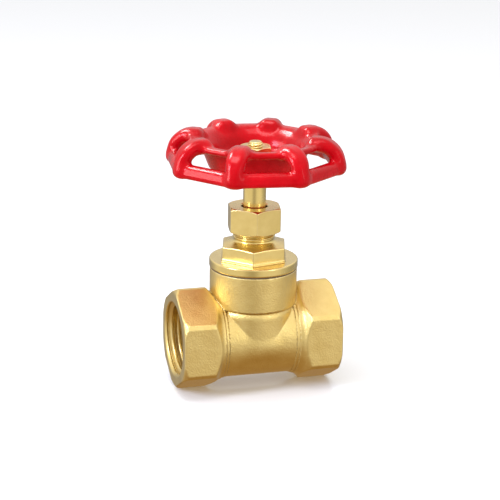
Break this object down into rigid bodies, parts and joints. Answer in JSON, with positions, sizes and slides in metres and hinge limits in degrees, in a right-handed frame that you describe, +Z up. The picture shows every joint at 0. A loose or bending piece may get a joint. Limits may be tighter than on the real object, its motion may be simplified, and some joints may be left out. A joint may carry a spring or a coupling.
{
  "type": "gate valve",
  "caption": "Small brass gate valve with female threaded hex ends, a screwed bonnet, a non-rising stem and a red lobed handwheel that lifts a wedge clear of the waterway.",
  "frame": {"origin": "centre of the inlet end face, on the pipe axis, where the inlet thread begins", "axes": "+X along the pipe towards the outlet, +Z up the stem towards the handwheel, -Y is the front"},
  "size_m": [0.049, 0.049, 0.072],
  "materials": {
    "cast_brass": "fine sandblasted casting, satin",
    "turned_brass": "machined, satin",
    "nut_brass": "machined, bright",
    "red_enamel": "gloss enamel",
    "gasket": "pressed fibre",
    "ptfe": "smooth PTFE",
    "packing": "braided graphite",
    "steel": "zinc plated"
  },
  "bodies": {
    "valve_body": {"body": "cast_brass", "bonnet": "turned_brass", "bonnet_gasket": "gasket", "stem_retainer": "turned_brass", "lower_thrust_washer": "ptfe", "upper_thrust_washer": "ptfe", "packing_washer": "turned_brass", "packing_ring_lower": "packing", "packing_ring_middle": "packing", "packing_ring_upper": "packing", "gland": "turned_brass", "gland_nut": "turned_brass"},
    "stem_and_wheel": {"stem": "turned_brass", "handwheel": "red_enamel", "wheel_washer": "steel", "wheel_nut": "nut_brass"},
    "wedge": {"wedge": "turned_brass"}
  },
  "joints": [
    {"name": "stem_turn", "type": "hinge", "parent": "valve_body", "child": "stem_and_wheel", "pos_m": [0.0226, 0, 0.04], "axis": [0, 0, 1], "range_deg": [-2430, 0]},
    {"name": "wedge_slide", "type": "slide", "parent": "valve_body", "child": "wedge", "axis": [0, 0, 1], "range_m": [-0.0135, 0]}
  ],
  "couplings": [
    {"joint": "wedge_slide", "follows": "stem_turn", "m_per_rad": 0.00031831}
  ]
}
